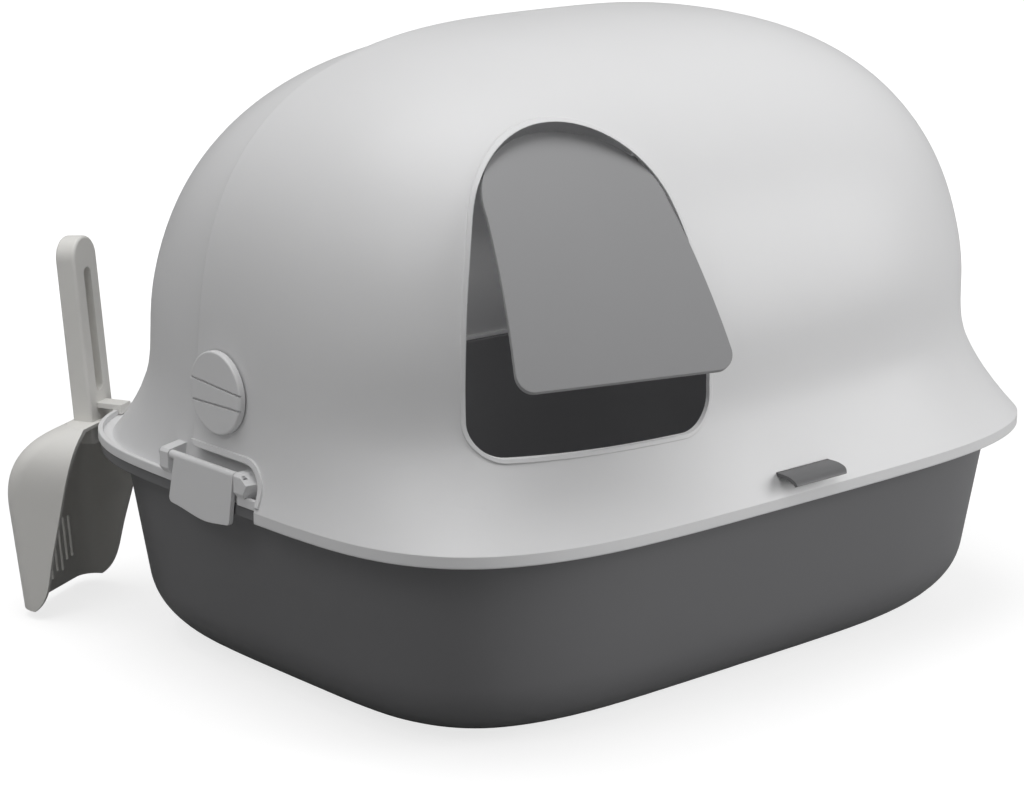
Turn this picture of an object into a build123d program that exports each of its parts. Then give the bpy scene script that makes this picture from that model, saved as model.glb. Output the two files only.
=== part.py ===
from build123d import *
import math
import os

os.makedirs("parts", exist_ok=True)

# Millimetres. X runs along the long side, Y to the back, Z up; the origin is under the tray's middle.

# Walls and clearances
WALL = 2.5
TRAY_WALL = 2.6
TURN_GAP = 0.35
SLIDE_GAP = 0.4

# Tray
TRAY_POWER = 4.56
TRAY_TOP = 128.0
TRAY_HALF_X = 252.0
TRAY_HALF_Y = 196.0
TRAY_TAPER = 0.137
TRAY_ROUND = 40.0
RIM_HALF_X = 266.0
RIM_HALF_Y = 210.0
RIM_DROP = 7.0

# Lip line shared by both hood shells
LIP_POWER = 4.2
FRONT_LIP = (270.0, 214.0)
REAR_LIP = (267.5, 211.5)
LIP_BEAD_WIDTH = 2.6
LIP_BEAD_RISE = 3.2
SEAT_WIDTH = 7.0

# Visor line: both shells turn about one axis along X
PIVOT_Y = 6.0
PIVOT_Z = 189.0
SIDE_POWER = 2.95
FRONT_SHELL = dict(half=260.0, front=199.0, rear=185.5, rise=197.0, bend_front=2.4, bend_rear=2.1,
                   foot=FRONT_LIP, rate_x=2.6, rate_y=1.6)
REAR_SHELL = dict(half=255.0, front=191.0, rear=182.0, rise=192.0, bend_front=2.1, bend_rear=2.1,
                  foot=(261.6, 205.6), rate_x=3.2, rate_y=1.7)

# Edges of the shells in side view, as (Y, Z)
SEAM_LOW = (34.5, 150.0)
SEAM_MIDDLE = (27.3, 235.0)
SEAM_TOP = (24.0, 400.0)
WINDOW_FRONT = -36.0
WINDOW_TOP = 152.5
WINDOW_ROUND = 16.0
CORNER_ROUND = 6.0
BORDER_WIDTH = 3.6
BORDER_RISE = 1.2
REAR_EDGE = -12.0
REAR_CROWN_EDGE = -3.5
REAR_FOOT_EDGE = -34.6
REAR_FOOT_TOP = 165.0

# Doorway and flap, turned about Z and measured sideways (u) and up
DOOR_TURN = 15.7
DOOR_MIDDLE = -84.5
DOOR_SILL = 173.0
DOOR_TOP = 346.0
DOOR_HALF = 75.6
DOOR_CROWN_RADIUS = 64.0
DOOR_HAUNCH_RADIUS = 300.0
DOOR_CORNER = 20.0
DOOR_RIM = 2.4
DOOR_RIM_RISE = 0.9
HINGE_DEPTH = 160.0
HINGE_Z = 321.5
FLAP_LENGTH = 135.0
FLAP_CROWN = 24.7
FLAP_HALF_FOOT = 67.2
FLAP_HALF_TOP = 56.0
FLAP_CORNER = 10.0
FLAP_BEND = 330.0
FLAP_THICK = 2.6
FLAP_STEP = 3.0
FLAP_ANGLE = 39.0
TRUNNION_RADIUS = 2.2
LUG_INNER = 49.4
LUG_THICK = 3.4
LUG_RADIUS = 4.6
LUG_DROP = 36.0
LUG_GAP = 0.8
ARM_START = 40.0
ARM_RELIEF = 4.4

# Side pivots
CAP_RADIUS = 24.5
CAP_THICK = 4.0
CAP_STAND = 1.0
CAP_GROOVE = 1.2
CAP_BAND = (-6.8, 4.2)
STEM_RADIUS = 8.0
STEM_TIP_RADIUS = 6.0
BOSS_RADIUS = 14.0
BOSS_END = 247.0
RING_THICK = 3.0

# Side latches; the plate's corners are given as (Y, Z)
LATCH_Y = (-16.5, 47.0)
LATCH_AXIS_X = 267.2
LATCH_AXIS_Z = 144.7
LATCH_BARREL = 2.6
LATCH_PIN = 1.3
PIN_GAP = 0.2
PIN_HEAD = (2.4, 1.2)
LATCH_OUT = 269.8
LATCH_PLATE = 2.9
PLATE_TOP_REAR = 41.5
PLATE_FOOT_REAR = (48.5, 116.0)
PLATE_FOOT_FRONT = (-11.5, 114.6)
PLATE_BELLY = ((30.0, 114.0), (12.0, 112.0), (-1.0, 113.2))
HOOK_X = 262.4
HOOK_LOW = 113.0
HOOK_TOP = 120.4
HOOK_Y = (-4.0, 32.0)
EAR_BACK = (47.6, 56.0)
EAR_FRONT = (-29.5, -17.2)
EAR_OUT = 270.0
NOTCH_X = 265.4

# Front finger tab
TAB_HALF = 22.0
TAB_TOP = 141.3
TAB_THICK = 2.2
TAB_REACH = -224.0
TAB_BEND = -212.0
TAB_DROP = 4.6

# Scoop, in its own frame: x across, y away from the tray, z up
SCOOP_X = -209.0
SCOOP_HANDLE_FACE = 10.0
SCOOP_HANDLE_WIDTH = 28.0
SCOOP_HANDLE_THICK = 14.0
SCOOP_HANDLE_TOP = 244.0
SCOOP_LEAN = 4.7
SCOOP_WALL = 2.5
SCOOP_TIP = 5.0
SCOOP_HEIGHT = 126.0
SCOOP_HALF = (44.0, 50.0)
SCOOP_SHOULDER = 92.0
SCOOP_BACK = (55.2, 61.0)
SCOOP_CROWN = 75.0
SCOOP_CORNER = 16.0
SLIT_PITCH = 6.6
SLIT_COUNT = 9
SLIT_WIDTH = 2.8
SLIT_MIDDLE = 34.0
SLIT_REACH = 22.0


def round_factor(power, angle):
    """Distance of a unit superellipse from its middle, at an angle in radians."""
    return (math.cos(angle) ** power + math.sin(angle) ** power) ** (-1 / power)


def solve_factor(inside, low=0.0, high=2.0):
    """Largest factor for which inside(factor) holds, by halving."""
    for _ in range(50):
        middle = (low + high) / 2
        if inside(middle):
            low = middle
        else:
            high = middle
    return low


def closed_ring(z, middle_y, half_x, front_y, rear_y, front_factor, rear_factor, count=9):
    """Four tangent splines joined into one horizontal ring."""
    steps = [i / (count - 1) for i in range(count)]
    angles = [s * math.pi / 2 for s in steps]

    def point(angle, side_x, side_y):
        reach = rear_y if side_y > 0 else front_y
        factor = (rear_factor if side_y > 0 else front_factor)(max(angle, 1e-9))
        x = side_x * half_x * factor * math.cos(angle)
        y = middle_y + side_y * reach * factor * math.sin(angle)
        return (x, y, z)

    quarters = [
        ([point(a, 1, 1) for a in angles], (0, 1, 0), (-1, 0, 0)),
        ([point(a, -1, 1) for a in reversed(angles)], (-1, 0, 0), (0, -1, 0)),
        ([point(a, -1, -1) for a in angles], (0, -1, 0), (1, 0, 0)),
        ([point(a, 1, -1) for a in reversed(angles)], (1, 0, 0), (0, 1, 0)),
    ]
    edges = [Edge.make_spline(p, [t0, t1], parameters=steps) for p, t0, t1 in quarters]
    return Wire(edges)


def oval_ring(z, half_x, half_y, power):
    """Superellipse ring about the Z axis."""
    factor = lambda angle: round_factor(power, angle)
    return closed_ring(z, 0, half_x, half_y, half_y, factor, factor)


def oval_block(low, high, half_x, half_y, power):
    """Upright block with a superellipse outline."""
    return extrude(Face(oval_ring(low, half_x, half_y, power)), amount=high - low, dir=(0, 0, 1))


def foot_ring(shell, z, grow):
    """Shell section between the lip and the pivot, where the wall flares out to the lip."""
    share = (PIVOT_Z - z) / (PIVOT_Z - TRAY_TOP)
    out_x = share ** shell["rate_x"]
    out_y = share ** shell["rate_y"]
    power = SIDE_POWER + (LIP_POWER - SIDE_POWER) * out_y
    half_x = shell["half"] + (shell["foot"][0] - shell["half"]) * out_x + grow
    front_y = shell["front"] + (shell["foot"][1] - shell["front"]) * out_y + grow
    rear_y = shell["rear"] + (shell["foot"][1] - shell["rear"]) * out_y + grow
    factor = lambda angle: round_factor(power, angle)
    return closed_ring(z, PIVOT_Y * (1 - out_y), half_x, front_y, rear_y, factor, factor)


def dome_ring(shell, share, grow):
    """Shell section above the pivot; share is its height over the full rise."""
    half = shell["half"] + grow
    rise = shell["rise"] + grow
    wide = (1 - share ** SIDE_POWER) ** (1 / SIDE_POWER)

    def factor(bend):
        deep = (1 - share ** bend) ** (1 / bend)

        def at(angle):
            def inside(f):
                side = wide * f * math.cos(angle)
                if side >= 1:
                    return False
                scale = (1 - side ** SIDE_POWER) ** (bend / SIDE_POWER)
                return scale >= share ** bend + (deep * f * math.sin(angle)) ** bend
            return solve_factor(inside)
        return deep, at

    deep_front, front_at = factor(shell["bend_front"])
    deep_rear, rear_at = factor(shell["bend_rear"])
    return closed_ring(PIVOT_Z + rise * share, PIVOT_Y, half * wide, (shell["front"] + grow) * deep_front,
                       (shell["rear"] + grow) * deep_rear, front_at, rear_at)


def shell_solid(shell, grow=0.0, low=TRAY_TOP):
    """Solid inside a shell surface moved outward by grow, standing on the plane z = low."""
    heights = [low] + [z for z in (131.0, 135.0, 141.0, 149.0, 158.0, 168.0, 178.0) if z > low + 1.5]
    rings = [foot_ring(shell, z, grow) for z in heights]
    for angle in (0, 9, 19, 30, 41, 52, 62, 71, 79, 85, 88.2):
        rings.append(dome_ring(shell, math.sin(math.radians(angle)), grow))
    return Solid.make_loft(rings)


def side_slab(points):
    """Block across the whole width with an outline given as (Y, Z) points."""
    return extrude(Plane.YZ * make_face(Polyline(*points, close=True)), amount=320, both=True)


def seam_slab():
    """Everything in front of the seam between the shells."""
    seam = ThreePointArc(SEAM_LOW, SEAM_MIDDLE, SEAM_TOP)
    rest = Polyline(SEAM_TOP, (-260, SEAM_TOP[1]), (-260, 100), (SEAM_LOW[0], 100), SEAM_LOW)
    return extrude(Plane.YZ * make_face([seam, rest]), amount=320, both=True)


def window_slab(grow=0.0):
    """Opening for the latch, cut up into the side of the front shell."""
    width = 100.0 + grow
    height = 100.0 + grow
    middle = (WINDOW_FRONT - grow + width / 2, WINDOW_TOP + grow - height / 2)
    face = Pos(*middle) * RectangleRounded(width, height, WINDOW_ROUND + grow)
    return extrude(Plane.YZ * face, amount=320, both=True)


def corner_slab():
    """Piece that rounds the front shell's lower rear corner."""
    y = SEAM_LOW[0] - 0.7
    z = WINDOW_TOP
    square = Pos(y + 10 - CORNER_ROUND, z - 10 + CORNER_ROUND) * Rectangle(20, 20)
    disc = Pos(y - CORNER_ROUND, z + CORNER_ROUND) * Circle(CORNER_ROUND)
    keep = Pos(y - CORNER_ROUND - 10, z) * Rectangle(20, 60)
    above = Pos(y, z + CORNER_ROUND + 10) * Rectangle(60, 20)
    return extrude(Plane.YZ * (square - disc - keep - above), amount=320, both=True)


def door_plane(depth=0.0, height=0.0, across=0.0):
    """Plane that faces out of the doorway: x across to the right, y up."""
    turn = math.radians(DOOR_TURN)
    side = (math.cos(turn), -math.sin(turn))
    out = (-math.sin(turn), -math.cos(turn))
    u = DOOR_MIDDLE + across
    origin = (u * side[0] + depth * out[0], u * side[1] + depth * out[1], height)
    return Plane(origin=origin, x_dir=(side[0], side[1], 0), z_dir=(out[0], out[1], 0))


def arch_face(foot_z, foot_half, arch_z, arch_radius, corner):
    """Upright arch outline with a rounded foot."""
    left = Line((-arch_radius, arch_z), (-foot_half, foot_z))
    foot = Line((-foot_half, foot_z), (foot_half, foot_z))
    right = Line((foot_half, foot_z), (arch_radius, arch_z))
    crown = ThreePointArc((arch_radius, arch_z), (0, arch_z + arch_radius), (-arch_radius, arch_z))
    face = make_face([left, foot, right, crown])
    return fillet(face.vertices().sort_by(Axis.Y)[:2], corner)


def door_face(grow=0.0):
    """Doorway outline: a crown arc, two flatter haunches tangent to it, plumb jambs and a rounded foot."""
    apart = DOOR_HAUNCH_RADIUS - DOOR_CROWN_RADIUS
    angle = math.acos((DOOR_HAUNCH_RADIUS - DOOR_HALF) / apart)
    crown_z = DOOR_TOP - DOOR_CROWN_RADIUS
    spring_z = crown_z - apart * math.sin(angle)
    crown = DOOR_CROWN_RADIUS + grow
    haunch = DOOR_HAUNCH_RADIUS + grow
    half = DOOR_HALF + grow
    sill = DOOR_SILL - grow
    joint = (crown * math.cos(angle), crown_z + crown * math.sin(angle))
    bulge = (half - haunch + haunch * math.cos(angle / 2), spring_z + haunch * math.sin(angle / 2))
    outline = [
        ThreePointArc(joint, (0, DOOR_TOP + grow), (-joint[0], joint[1])),
        ThreePointArc((-joint[0], joint[1]), (-bulge[0], bulge[1]), (-half, spring_z)),
        Polyline((-half, spring_z), (-half, sill), (half, sill), (half, spring_z)),
        ThreePointArc((half, spring_z), bulge, joint),
    ]
    face = make_face(outline)
    return fillet(face.vertices().sort_by(Axis.Y)[:2], DOOR_CORNER + grow)


def door_slab(grow=0.0):
    """Prism through the doorway."""
    return extrude(door_plane(depth=90.0) * door_face(grow), amount=180)


def pivot_rod(radius, start, end):
    """Rod on the pivot axis, on the right side."""
    plane = Plane(origin=(start, PIVOT_Y, PIVOT_Z), x_dir=(0, 1, 0), z_dir=(1, 0, 0))
    return extrude(plane * Circle(radius), amount=end - start)


def both_sides(shape):
    """The shape and its mirror image on the other side."""
    return [shape, mirror(shape, Plane.YZ)]


def make_tray():
    def sections(inset, floor):
        rings = []
        radius = TRAY_ROUND - inset
        for angle in (0, 12, 25, 40, 55, 72, 90):
            a = math.radians(angle)
            z = floor + radius * (1 - math.cos(a))
            inward = radius * (1 - math.sin(a)) + inset + TRAY_TAPER * (TRAY_TOP - z)
            rings.append(oval_ring(z, TRAY_HALF_X - inward, TRAY_HALF_Y - inward, TRAY_POWER))
        for z in (47.0, 57.0, 69.0, 83.0, 98.0, 113.0, TRAY_TOP):
            inward = inset + TRAY_TAPER * (TRAY_TOP - z)
            rings.append(oval_ring(z, TRAY_HALF_X - inward, TRAY_HALF_Y - inward, TRAY_POWER))
        return Solid.make_loft(rings)

    inner_x = TRAY_HALF_X - TRAY_WALL
    inner_y = TRAY_HALF_Y - TRAY_WALL
    rim = oval_block(TRAY_TOP - RIM_DROP, TRAY_TOP, RIM_HALF_X, RIM_HALF_Y, LIP_POWER)
    rim = fillet(rim.edges().group_by(Axis.Z)[-1], 1.0)
    rim -= oval_block(0, TRAY_TOP - WALL, RIM_HALF_X - WALL, RIM_HALF_Y - WALL, LIP_POWER)
    rim -= oval_block(100, TRAY_TOP + 1, inner_x - 0.05, inner_y - 0.05, TRAY_POWER)
    tray = sections(0, 0) + rim
    return tray - sections(TRAY_WALL, TRAY_WALL)


def make_front_shell():
    outer = shell_solid(FRONT_SHELL)
    inner = shell_solid(FRONT_SHELL, -WALL, TRAY_TOP + WALL)
    seat_x = FRONT_LIP[0] - SEAT_WIDTH
    seat_y = FRONT_LIP[1] - SEAT_WIDTH
    lip = oval_block(TRAY_TOP - RIM_DROP, TRAY_TOP, *FRONT_LIP, LIP_POWER)
    lip = fillet(lip.edges().group_by(Axis.Z)[0], 1.0)
    body = outer + lip
    body -= inner
    body -= oval_block(100, TRAY_TOP, FRONT_LIP[0] - WALL, FRONT_LIP[1] - WALL, LIP_POWER)
    body -= oval_block(TRAY_TOP - 1, TRAY_TOP + WALL, seat_x, seat_y, LIP_POWER)

    window = window_slab()
    rims = (window_slab(BORDER_WIDTH) - window) & side_slab([(-45, 131), (60, 131), (60, 180), (-45, 180)])
    border = (shell_solid(FRONT_SHELL, BORDER_RISE) & rims) - inner
    door = door_slab()
    door_rim = (shell_solid(FRONT_SHELL, DOOR_RIM_RISE) & (door_slab(DOOR_RIM) - door)) - inner
    body = body + border + door_rim

    body = (body - door - window) & seam_slab()
    body -= corner_slab()
    for hole in both_sides(pivot_rod(STEM_RADIUS + TURN_GAP, 240, 275)):
        body -= hole
    body -= tab_blank(SLIDE_GAP * 0.25)
    body -= flap_axis_rod(ARM_RELIEF, LUG_INNER)

    for side in (-1, 1):
        lug = flap_lug(side)
        inside = shell_solid(FRONT_SHELL, -WALL * 0.5, TRAY_TOP + WALL)
        body += (lug & inside)
    return body - flap_bore()


def flap_axis_rod(radius, half_length):
    """Rod on the flap's hinge axis."""
    turn = math.radians(DOOR_TURN)
    base = door_plane(HINGE_DEPTH, HINGE_Z, -half_length)
    plane = Plane(origin=base.origin, x_dir=(0, 0, 1), z_dir=(math.cos(turn), -math.sin(turn), 0))
    return extrude(plane * Circle(radius), amount=2 * half_length)


def flap_bore():
    return flap_axis_rod(TRUNNION_RADIUS + TURN_GAP, LUG_INNER + LUG_THICK + 1.5)


def flap_lug(side):
    """Lug that hangs from the inside of the shell beside the doorway's crown."""
    turn = math.radians(DOOR_TURN)
    start = side * (LUG_INNER + LUG_THICK / 2) - LUG_THICK / 2
    base = door_plane(HINGE_DEPTH, HINGE_Z, start)
    plane = Plane(origin=base.origin, x_dir=base.z_dir, z_dir=(math.cos(turn), -math.sin(turn), 0))
    face = Circle(LUG_RADIUS)
    face += make_face(Polyline((-LUG_RADIUS, 0), (LUG_RADIUS, 0), (LUG_RADIUS, -LUG_DROP),
                               (-LUG_RADIUS - 6, -LUG_DROP), close=True))
    return extrude(plane * face, amount=LUG_THICK)


def make_rear_shell():
    outer = shell_solid(REAR_SHELL)
    inner = shell_solid(REAR_SHELL, -WALL, TRAY_TOP + WALL)
    bead_top = TRAY_TOP + WALL + LIP_BEAD_RISE
    lip = oval_block(TRAY_TOP, bead_top, *REAR_LIP, LIP_POWER)
    lip = fillet(lip.edges().group_by(Axis.Z)[-1], 0.8)
    lip -= oval_block(TRAY_TOP + WALL, bead_top + 1, REAR_LIP[0] - LIP_BEAD_WIDTH,
                      REAR_LIP[1] - LIP_BEAD_WIDTH, LIP_POWER)
    body = outer + lip
    body -= inner
    body -= oval_block(TRAY_TOP - 1, TRAY_TOP + WALL, 255.0, 199.0, LIP_POWER)
    body -= side_slab([(-260, 100), (REAR_FOOT_EDGE, 100), (REAR_FOOT_EDGE, WINDOW_TOP - 6),
                       (REAR_EDGE, REAR_FOOT_TOP), (REAR_EDGE, 214), (REAR_CROWN_EDGE, 235),
                       (REAR_CROWN_EDGE, 400), (-260, 400)])
    for side in (-1, 1):
        notch = Pos(side * (NOTCH_X + 10), sum(LATCH_Y) / 2, 131) * Box(20, LATCH_Y[1] - LATCH_Y[0] + 1, 20)
        body -= notch
    boss = pivot_rod(BOSS_RADIUS, BOSS_END, REAR_SHELL["half"] - 1)
    ear = latch_ears()
    bore = pivot_rod(STEM_RADIUS + TURN_GAP * 0.3, 240, 260)
    for piece in both_sides(boss) + both_sides(ear):
        body += piece
    for hole in both_sides(bore):
        body -= hole
    return body


def latch_plane(y):
    """Plane across the latch's length at Y = y: x out to the right, y up, facing forward."""
    return Plane(origin=(0, y, 0), x_dir=(1, 0, 0), z_dir=(0, -1, 0))


def latch_bore(start, end):
    """Clearance hole for the pin, from Y = start forward to Y = end."""
    hole = Pos(LATCH_AXIS_X, LATCH_AXIS_Z) * Circle(LATCH_PIN + PIN_GAP)
    return extrude(latch_plane(start) * hole, amount=start - end)


def latch_ears():
    """Two ears of the right latch, with their pin holes."""
    profile = make_face(Polyline((256, 129), (264.6, 129), (EAR_OUT, 136), (EAR_OUT, 145.6), (268.4, 147.4),
                                 (264, 148.2), (256, 149.5), close=True))
    back = extrude(latch_plane(EAR_BACK[1]) * profile, amount=EAR_BACK[1] - EAR_BACK[0])
    front = extrude(latch_plane(EAR_FRONT[1]) * profile, amount=EAR_FRONT[1] - EAR_FRONT[0])
    front_low, front_high = EAR_FRONT
    wedge = [(front_high, 147.5), (front_low + 8, 147.5), (front_low, 142.0), (front_low + 7, 129.5),
             (front_high, 129.5)]
    return back + (front & side_slab(wedge)) - latch_bore(EAR_BACK[1] + 1, EAR_FRONT[0] + 4)


def latch_plate_face():
    """Latch plate seen from the side, with a belly in its lower edge."""
    top_front = (LATCH_Y[0], LATCH_AXIS_Z)
    top_rear = (PLATE_TOP_REAR, LATCH_AXIS_Z)
    belly = Spline(PLATE_FOOT_REAR, *PLATE_BELLY, PLATE_FOOT_FRONT)
    sides = Polyline(PLATE_FOOT_FRONT, top_front, top_rear, PLATE_FOOT_REAR)
    face = make_face([belly, sides])
    lower = face.vertices().sort_by(Axis.Y)[:2]
    return fillet(lower, 3.0)


def make_latch():
    """Right latch: a plate on a barrel, with a hook that goes under the tray's rim."""
    inner = LATCH_OUT - LATCH_PLATE
    plate = extrude(Plane.YZ.offset(inner) * latch_plate_face(), amount=LATCH_PLATE)
    barrel = Pos(LATCH_AXIS_X, LATCH_AXIS_Z) * Circle(LATCH_BARREL)
    barrel = extrude(latch_plane(LATCH_Y[1]) * barrel, amount=LATCH_Y[1] - LATCH_Y[0])
    hook = make_face(Polyline((inner + 1, HOOK_TOP + 1), (inner, HOOK_TOP), (HOOK_X, HOOK_LOW + 3),
                              (HOOK_X, HOOK_LOW + 1), (HOOK_X + 1, HOOK_LOW), (inner + 1, HOOK_LOW), close=True))
    latch = plate + barrel + extrude(latch_plane(HOOK_Y[1]) * hook, amount=HOOK_Y[1] - HOOK_Y[0])
    return latch - latch_bore(LATCH_Y[1] + 1, LATCH_Y[0] - 1)


def make_latch_pin():
    """Right latch pin with a flat head on the rear ear."""
    plane = latch_plane(EAR_BACK[1])
    middle = Pos(LATCH_AXIS_X, LATCH_AXIS_Z)
    pin = extrude(plane * (middle * Circle(LATCH_PIN)), amount=EAR_BACK[1] - EAR_FRONT[0] - 4.5)
    return pin + extrude(plane * (middle * Circle(PIN_HEAD[0])), amount=-PIN_HEAD[1])


def make_cap():
    """Right pivot cap: a grooved disc on a stem that carries both shells."""
    face_x = FRONT_SHELL["half"] + CAP_STAND
    disc = pivot_rod(CAP_RADIUS, face_x, face_x + CAP_THICK)
    disc = fillet(disc.edges().group_by(Axis.X)[-1], 1.2)
    grip = Plane(origin=(face_x + CAP_THICK - CAP_GROOVE, PIVOT_Y, PIVOT_Z), x_dir=(0, 1, 0), z_dir=(1, 0, 0))
    for height in CAP_BAND:
        groove = Rot(0, 0, 4 if height > 0 else -1) * Rectangle(60, 1.2)
        disc -= extrude(grip * Pos(0, height) * groove, amount=4)
    stem = pivot_rod(STEM_RADIUS, BOSS_END, face_x + 0.5)
    tip = pivot_rod(STEM_TIP_RADIUS, BOSS_END - RING_THICK - 1, BOSS_END)
    return disc + stem + tip


def make_pivot_ring():
    ring = pivot_rod(BOSS_RADIUS, BOSS_END - RING_THICK, BOSS_END)
    return ring - pivot_rod(STEM_TIP_RADIUS + 0.1, BOSS_END - RING_THICK - 1, BOSS_END + 1)


def flap_plane(angle):
    """Plane of the flap: origin on its axis, x across, y up along the chord, z out."""
    turn = math.radians(DOOR_TURN)
    lean = math.radians(angle)
    flat = door_plane(HINGE_DEPTH, HINGE_Z)
    out = flat.z_dir
    normal = out * math.cos(lean) + Vector(0, 0, 1) * math.sin(lean)
    return Plane(origin=flat.origin, x_dir=(math.cos(turn), -math.sin(turn), 0), z_dir=normal)


def make_flap(angle=FLAP_ANGLE):
    half_chord = FLAP_LENGTH / 2
    depth = math.sqrt(FLAP_BEND ** 2 - half_chord ** 2)
    middle = Pos(-half_chord, FLAP_STEP - depth)
    band = middle * (Circle(FLAP_BEND + FLAP_THICK / 2) - Circle(FLAP_BEND - FLAP_THICK / 2))
    side = Plane(origin=(-90, 0, 0), x_dir=(0, 1, 0), z_dir=(1, 0, 0))
    plate = extrude(side * band, amount=180)
    outline = arch_face(-FLAP_LENGTH, FLAP_HALF_FOOT, FLAP_CROWN - FLAP_HALF_TOP, FLAP_HALF_TOP, FLAP_CORNER)
    plate = plate & extrude(Pos(0, 0, -60) * outline, amount=120)
    end = LUG_INNER + LUG_THICK + 0.6
    for sign in (-1, 1):
        beside = Plane(origin=(sign * (LUG_INNER - LUG_GAP), 0, 0), x_dir=(0, 1, 0), z_dir=(sign, 0, 0))
        plate -= extrude(beside * Circle(LUG_RADIUS + 0.9), amount=10)
        base = Plane(origin=(sign * ARM_START, 0, 0), x_dir=(0, 1, 0), z_dir=(sign, 0, 0))
        plate += extrude(base * Circle(TRUNNION_RADIUS), amount=end - ARM_START)
        arm = Pos(0, sign * FLAP_STEP / 2) * Rectangle(2 * TRUNNION_RADIUS, FLAP_STEP) + Circle(TRUNNION_RADIUS)
        plate += extrude(base * arm, amount=LUG_INNER - LUG_GAP - ARM_START)
    return flap_plane(angle) * plate


def tab_blank(grow=0.0):
    """Straight part of the finger tab, where it comes out through the wall."""
    strip = Pos(-210, TAB_TOP - TAB_THICK / 2) * Rectangle(20, TAB_THICK + 2 * grow)
    return extrude(Plane.YZ * strip, amount=TAB_HALF + grow, both=True)


def make_tab():
    """Front finger tab: a strip with a curled edge, held by barbs behind the wall."""
    z = TAB_TOP
    root = -201.0
    edge = (TAB_REACH, z - TAB_DROP)
    inner_edge = (TAB_REACH + 1.8, z - TAB_DROP - 1.0)
    middle_y = (TAB_BEND + TAB_REACH) / 2 - 1.5
    outline = [
        Line((root, z), (TAB_BEND, z)),
        Spline((TAB_BEND, z), (middle_y, z - 1.2), edge, tangents=[(-1, 0), (-0.45, -1)]),
        Line(edge, inner_edge),
        Spline(inner_edge, (middle_y + 1.1, z - 3.3), (TAB_BEND, z - TAB_THICK), tangents=[(0.45, 1), (1, 0)]),
        Polyline((TAB_BEND, z - TAB_THICK), (root, z - TAB_THICK), (root, z)),
    ]
    tab = extrude(Plane.YZ * make_face(outline), amount=TAB_HALF, both=True)
    plan = Pos(TAB_HALF - 12, -213) * RectangleRounded(24, 26, 7)
    plan += Pos(-2, -213) * Rectangle(2 * TAB_HALF - 4, 26)
    plan += Pos(0, -204) * Rectangle(2 * TAB_HALF, 10)
    tab = tab & extrude(Pos(0, 0, 100) * plan, amount=60)
    barbs = side_slab([(root, z - 4.5), (root, z + 2.3), (root - 2, z + 2.3), (root - 2, z - 4.5)])
    barbs = barbs & (Pos(0, root - 1, z) * Box(2 * TAB_HALF - 6, 20, 20))
    return tab + barbs


def scoop_frame():
    """Plane at the lip's edge where the scoop hangs: x across, y away from the tray, z up."""
    power = LIP_POWER
    share_x = abs(SCOOP_X) / REAR_LIP[0]
    share_y = (1 - share_x ** power) ** (1 / power)
    normal = Vector(-(share_x ** (power - 1)) / REAR_LIP[0], share_y ** (power - 1) / REAR_LIP[1], 0).normalized()
    origin = (SCOOP_X, share_y * REAR_LIP[1], 0)
    return Plane(origin=origin, x_dir=(normal.Y, -normal.X, 0), z_dir=(0, 0, 1))


def fall_off(z, start, rise, power):
    """Share of full size at height z: one up to start, then falling like an oval."""
    if z <= start:
        return 1.0
    return (1 - ((z - start) / rise) ** power) ** (1 / power)


def scoop_ring(z, inset):
    """Pan section: a rounded box that is open to the front once the front is cut away."""
    front = -60.0
    low_half, full_half = SCOOP_HALF
    low_back, full_back = SCOOP_BACK
    half = low_half + (full_half - low_half) * min(1.0, (z - SCOOP_TIP) / (SCOOP_SHOULDER - SCOOP_TIP))
    back = low_back + (full_back - low_back) * min(1.0, (z - SCOOP_TIP) / (SCOOP_CROWN - SCOOP_TIP))
    half *= fall_off(z, SCOOP_SHOULDER, 40.0, 2.4)
    back *= fall_off(z, SCOOP_CROWN, 55.0, 2.2)
    lower = 0.9 * inset * max(0.0, (z - SCOOP_CROWN) / (SCOOP_HEIGHT - SCOOP_CROWN))
    depth = back - front
    face = Pos(0, front + depth / 2 - inset, z - lower) * RectangleRounded(2 * (half - inset), depth, SCOOP_CORNER - inset)
    return face.wire()


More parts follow.
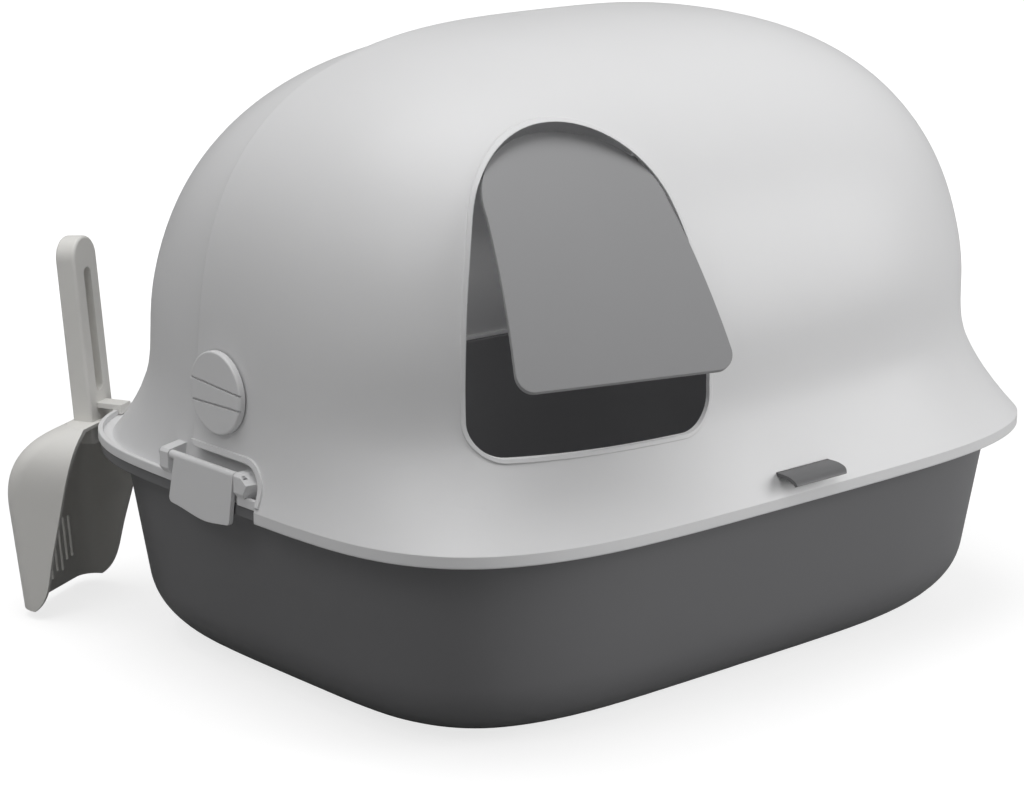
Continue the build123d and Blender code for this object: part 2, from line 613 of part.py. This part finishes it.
def make_scoop():
    """Scoop: an open pan with slits in its floor, a slotted handle and the hook that hangs on the lip."""
    heights = [SCOOP_TIP + i * (SCOOP_HEIGHT - SCOOP_TIP) / 10 for i in range(11)]
    outer = Solid.make_loft([scoop_ring(z, 0.0) for z in heights])
    inner = Solid.make_loft([scoop_ring(z, SCOOP_WALL) for z in [SCOOP_TIP - 4.0] + heights[1:]])
    edge = Spline((42.0, SCOOP_TIP - 1), (32.0, 16.0), (26.5, 36.0), (19.7, 62.0), (14.4, 82.0), (9.0, 104.0),
                  (8.0, 130.0))
    ahead = Polyline((8.0, 130.0), (-80, 130), (-80, SCOOP_TIP - 1), (42.0, SCOOP_TIP - 1))
    front = extrude(Plane.YZ * make_face([edge, ahead]), amount=80, both=True)
    pan = outer - inner - front

    handle_low = 112.0
    height = SCOOP_HANDLE_TOP - handle_low
    bar = Pos(0, height / 2) * RectangleRounded(SCOOP_HANDLE_WIDTH, height, SCOOP_HANDLE_WIDTH / 2 - 0.01)
    bar += Pos(0, height / 4) * Rectangle(SCOOP_HANDLE_WIDTH, height / 2)
    lean = math.radians(SCOOP_LEAN)
    face_plane = Plane(origin=(0, SCOOP_HANDLE_FACE, handle_low), x_dir=(-1, 0, 0),
                       z_dir=(0, math.cos(lean), -math.sin(lean)))
    handle = extrude(face_plane * bar, amount=SCOOP_HANDLE_THICK)
    handle = fillet(handle.edges().filter_by(lambda e: e.length > 60), 2.0)
    slot = Pos(0, 72) * SlotOverall(80, 8.5, rotation=90)
    handle -= extrude(face_plane * slot, amount=SCOOP_HANDLE_THICK - 3)
    body = pan + handle

    bead_top = TRAY_TOP + WALL + LIP_BEAD_RISE
    leg = LIP_BEAD_WIDTH * 1.154 + 0.35
    hook = Polyline((SCOOP_HANDLE_FACE + 6, bead_top + 0.1), (-leg, bead_top + 0.1), (-leg, TRAY_TOP + WALL + 0.5),
                    (-leg - 2.2, TRAY_TOP + WALL + 0.5), (-leg - 2.2, bead_top + 3.4),
                    (SCOOP_HANDLE_FACE + 6, bead_top + 3.4), close=True)
    body += extrude(Plane.YZ * make_face(hook), amount=6, both=True)

    cut = Plane(origin=(0, 45, 0), x_dir=(-1, 0, 0), z_dir=(0, 1, 0))
    for i in range(SLIT_COUNT):
        place = i - (SLIT_COUNT - 1) / 2
        reach = SLIT_REACH - 0.5 * place * place - (3.0 if i % 2 else 0.0)
        slit = Pos(SLIT_PITCH * place, SLIT_MIDDLE) * SlotOverall(2 * reach, SLIT_WIDTH, rotation=90)
        body -= extrude(cut * slit, amount=25)
    body -= extrude(cut * Pos(0, SLIT_MIDDLE + 36) * Circle(3.2), amount=25)
    return body.moved(Location(scoop_frame()))


def save(shape, name):
    solids = shape.solids()
    export_step(solids[0] if len(solids) == 1 else Compound(solids), "parts/%s.step" % name)


def main():
    save(make_tray(), "tray")
    save(make_rear_shell(), "rear_shell")
    save(make_front_shell(), "front_shell")
    for tag, index in (("right", 0), ("left", 1)):
        save(both_sides(make_latch())[index], "latch_" + tag)
        save(both_sides(make_latch_pin())[index], "latch_pin_" + tag)
        save(both_sides(make_cap())[index], "pivot_cap_" + tag)
        save(both_sides(make_pivot_ring())[index], "pivot_ring_" + tag)
    save(make_flap(), "door_flap")
    save(make_tab(), "front_tab")
    save(make_scoop(), "scoop")


if __name__ == "__main__":
    main()
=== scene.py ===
import math

import bpy
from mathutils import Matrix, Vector

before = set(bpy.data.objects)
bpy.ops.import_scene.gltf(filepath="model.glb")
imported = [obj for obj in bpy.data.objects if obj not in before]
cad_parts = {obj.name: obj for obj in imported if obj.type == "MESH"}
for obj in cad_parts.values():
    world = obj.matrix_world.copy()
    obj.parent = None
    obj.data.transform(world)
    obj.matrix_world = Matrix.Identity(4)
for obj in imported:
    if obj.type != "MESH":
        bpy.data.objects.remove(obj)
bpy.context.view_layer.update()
bpy.ops.object.select_all(action="DESELECT")

# Camera at the photograph's viewing angle, in metres and degrees
CAMERA_TURN = -41.409
CAMERA_RISE = 14.872
CAMERA_REACH = 1.835808
CAMERA_LENS = 101.72
SENSOR_WIDTH = 36
AIM = Vector((-0.024088, 0.021242, 0.139107))

# Name, place, target, size in metres, power in watts, and whether the lamp itself is kept out of sight
LAMPS = [
    ("key_right", (2.4, -2.6, 0.85), (0, 0, 0.12), 2.4, 72, False),
    ("top_soft", (-0.4, 0.0, 2.5), (0, 0, 0.2), 2.0, 30, False),
    ("left_fill", (-2.1, -0.5, 2.0), (-0.1, 0.0, 0.25), 1.2, 9, False),
    ("inside_fill", (0.0, 0.02, 0.32), (-0.05, -0.1, 0.1), 0.12, 0.4, True),
]
SKY_OVERHEAD = 0.46
SKY_HORIZON = 0.0552

# The floor looks white from afar and keeps the object's shadow close by; distances in metres from its middle
FLOOR_SIZE = 30
FLOOR_DROP = 0.0005
FLOOR_TONE = 0.36
FLOOR_ROUGHNESS = 0.9
FLOOR_SHEEN = 0.1
SHADOW_REACH = (0.45, 1.6)
FLOOR_LIFT = (0.76, 1.0)

# Moulded surface: slow changes of shade and gloss, and a fine tooth
SLOW_SCALE = 9.0
SHADE_RANGE = (0.975, 1.02)
GLOSS_RANGE = (-0.04, 0.05)
GRAIN_SCALE = 900.0
GRAIN_DEPTH = 0.0002
EDGE_SAMPLES = 6
SPECULAR = 0.4

# Finish: colour, roughness, strength of the tooth, edge radius in metres, and the nodes that wear it
FINISHES = {
    "hood_white": ((0.74, 0.74, 0.745), 0.4, 0.08, 0.0008,
                   ["rear_shell", "front_shell", "pivot_cap_left", "pivot_cap_right", "pivot_ring_left",
                    "pivot_ring_right", "latch_left", "latch_right"]),
    "tray_grey": ((0.165, 0.165, 0.17), 0.42, 0.12, 0.0008, ["tray"]),
    # Door flap: the tray and tab grey made lighter, painted light for its upward face catching the lamps
    "flap_grey_with_painted_light": ((0.285, 0.285, 0.29), 0.45, 0.1, 0.0008, ["door_flap"]),
    "tab_grey": ((0.14, 0.14, 0.143), 0.42, 0.1, 0.0005, ["front_tab"]),
    "scoop_white": ((0.82, 0.81, 0.78), 0.42, 0.08, 0.0006, ["scoop"]),
    "pin_metal": ((0.5, 0.5, 0.51), 0.3, 0.02, 0.0002, ["latch_pin_left", "latch_pin_right"]),
}


def add_camera():
    turn = math.radians(CAMERA_TURN)
    rise = math.radians(CAMERA_RISE)
    back = Vector((math.sin(turn) * math.cos(rise), -math.cos(turn) * math.cos(rise), math.sin(rise)))
    bpy.ops.object.camera_add(location=AIM + back * CAMERA_REACH, rotation=(math.pi / 2 - rise, 0, turn))
    camera = bpy.context.object
    camera.name = "camera"
    camera.data.lens = CAMERA_LENS
    camera.data.sensor_width = SENSOR_WIDTH
    bpy.context.scene.camera = camera
    camera.select_set(False)


def add_lamp(name, place, target, size, power, hidden):
    bpy.ops.object.light_add(type="AREA", location=place)
    lamp = bpy.context.object
    lamp.name = name
    lamp.data.shape = "DISK"
    lamp.data.size = size
    lamp.data.energy = power
    lamp.rotation_euler = (Vector(target) - Vector(place)).to_track_quat("-Z", "Y").to_euler()
    lamp.visible_camera = not hidden
    lamp.visible_glossy = not hidden
    lamp.select_set(False)


def add_range(tree, source, to_range, from_range=(0.0, 1.0)):
    """Maps a value linearly from one range to another, and gives back the new value."""
    node = tree.nodes.new("ShaderNodeMapRange")
    node.inputs["From Min"].default_value, node.inputs["From Max"].default_value = from_range
    node.inputs["To Min"].default_value, node.inputs["To Max"].default_value = to_range
    tree.links.new(source, node.inputs["Value"])
    return node.outputs["Result"]


def add_noise(tree, place, scale, detail):
    node = tree.nodes.new("ShaderNodeTexNoise")
    node.inputs["Scale"].default_value = scale
    node.inputs["Detail"].default_value = detail
    tree.links.new(place, node.inputs["Vector"])
    return node.outputs["Fac"]


def add_seen_mask(tree):
    """1 for what the camera looks at, 0 for what lights the object or shows in its sheen."""
    return tree.nodes.new("ShaderNodeLightPath").outputs["Is Camera Ray"]


def set_world():
    """A sky that is brightest overhead, seen by the camera as plain white."""
    world = bpy.data.worlds.new("studio")
    bpy.context.scene.world = world
    world.use_nodes = True
    tree = world.node_tree
    nodes, links = tree.nodes, tree.links
    nodes.clear()
    place = nodes.new("ShaderNodeTexCoord")
    split = nodes.new("ShaderNodeSeparateXYZ")
    links.new(place.outputs["Generated"], split.inputs[0])
    sky = nodes.new("ShaderNodeBackground")
    sky.inputs["Color"].default_value = (1, 1, 1, 1)
    links.new(add_range(tree, split.outputs["Z"], (SKY_HORIZON, SKY_OVERHEAD)), sky.inputs["Strength"])
    white = nodes.new("ShaderNodeBackground")
    white.inputs["Color"].default_value = (1, 1, 1, 1)
    mix = nodes.new("ShaderNodeMixShader")
    links.new(add_seen_mask(tree), mix.inputs[0])
    links.new(sky.outputs[0], mix.inputs[1])
    links.new(white.outputs[0], mix.inputs[2])
    out = nodes.new("ShaderNodeOutputWorld")
    links.new(mix.outputs[0], out.inputs["Surface"])


def add_floor():
    bpy.ops.mesh.primitive_plane_add(size=FLOOR_SIZE, location=(0, 0, -FLOOR_DROP))
    floor = bpy.context.object
    floor.name = "floor"
    material = bpy.data.materials.new("floor_white")
    material.use_nodes = True
    tree = material.node_tree
    nodes, links = tree.nodes, tree.links
    shader = nodes["Principled BSDF"]
    shader.inputs["Base Color"].default_value = (FLOOR_TONE, FLOOR_TONE, FLOOR_TONE, 1)
    shader.inputs["Roughness"].default_value = FLOOR_ROUGHNESS
    shader.inputs["Specular IOR Level"].default_value = FLOOR_SHEEN
    shader.inputs["Emission Color"].default_value = (1, 1, 1, 1)
    place = nodes.new("ShaderNodeTexCoord")
    away = nodes.new("ShaderNodeVectorMath")
    away.operation = "LENGTH"
    links.new(place.outputs["Object"], away.inputs[0])
    lift = nodes.new("ShaderNodeMath")
    lift.operation = "MULTIPLY"
    links.new(add_seen_mask(tree), lift.inputs[0])
    links.new(add_range(tree, away.outputs["Value"], FLOOR_LIFT, SHADOW_REACH), lift.inputs[1])
    links.new(lift.outputs[0], shader.inputs["Emission Strength"])
    floor.data.materials.append(material)
    floor.select_set(False)


def moulded_group():
    """Fine tooth of a moulded surface, with slow changes of shade and gloss and eased edges."""
    group = bpy.data.node_groups.new("moulded_skin", "ShaderNodeTree")
    for name, side, kind in (("Color", "INPUT", "Color"), ("Gloss", "INPUT", "Float"),
                             ("Tooth", "INPUT", "Float"), ("Round", "INPUT", "Float"),
                             ("Color", "OUTPUT", "Color"), ("Roughness", "OUTPUT", "Float"),
                             ("Normal", "OUTPUT", "Vector")):
        group.interface.new_socket(name, in_out=side, socket_type="NodeSocket" + kind)
    nodes, links = group.nodes, group.links
    given = nodes.new("NodeGroupInput")
    made = nodes.new("NodeGroupOutput")
    place = nodes.new("ShaderNodeTexCoord").outputs["Object"]

    slow = add_noise(group, place, SLOW_SCALE, 3.0)
    tint = nodes.new("ShaderNodeVectorMath")
    tint.operation = "SCALE"
    links.new(given.outputs["Color"], tint.inputs[0])
    links.new(add_range(group, slow, SHADE_RANGE), tint.inputs["Scale"])
    links.new(tint.outputs[0], made.inputs["Color"])

    gloss = nodes.new("ShaderNodeMath")
    gloss.operation = "ADD"
    links.new(given.outputs["Gloss"], gloss.inputs[0])
    links.new(add_range(group, slow, GLOSS_RANGE), gloss.inputs[1])
    links.new(gloss.outputs[0], made.inputs["Roughness"])

    edge = nodes.new("ShaderNodeBevel")
    edge.samples = EDGE_SAMPLES
    links.new(given.outputs["Round"], edge.inputs["Radius"])
    bump = nodes.new("ShaderNodeBump")
    bump.inputs["Distance"].default_value = GRAIN_DEPTH
    links.new(given.outputs["Tooth"], bump.inputs["Strength"])
    links.new(add_noise(group, place, GRAIN_SCALE, 2.0), bump.inputs["Height"])
    links.new(edge.outputs["Normal"], bump.inputs["Normal"])
    links.new(bump.outputs["Normal"], made.inputs["Normal"])
    return group


def moulded_plastic(name, group, color, gloss, tooth, round_off):
    """Satin moulded plastic."""
    material = bpy.data.materials.new(name)
    material.use_nodes = True
    nodes, links = material.node_tree.nodes, material.node_tree.links
    shader = nodes["Principled BSDF"]
    shader.inputs["Specular IOR Level"].default_value = SPECULAR
    skin = nodes.new("ShaderNodeGroup")
    skin.node_tree = group
    skin.inputs["Color"].default_value = (*color, 1)
    skin.inputs["Gloss"].default_value = gloss
    skin.inputs["Tooth"].default_value = tooth
    skin.inputs["Round"].default_value = round_off
    links.new(skin.outputs["Color"], shader.inputs["Base Color"])
    links.new(skin.outputs["Roughness"], shader.inputs["Roughness"])
    links.new(skin.outputs["Normal"], shader.inputs["Normal"])
    return material


def dress():
    """Gives each CAD node its finish."""
    group = moulded_group()
    for name, (color, gloss, tooth, round_off, nodes) in FINISHES.items():
        material = moulded_plastic(name, group, color, gloss, tooth, round_off)
        for node in nodes:
            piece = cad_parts[node]
            piece.data.materials.clear()
            piece.data.materials.append(material)


add_camera()
bpy.context.scene.view_settings.view_transform = "Standard"
set_world()
add_floor()
for lamp_facts in LAMPS:
    add_lamp(*lamp_facts)
dress()
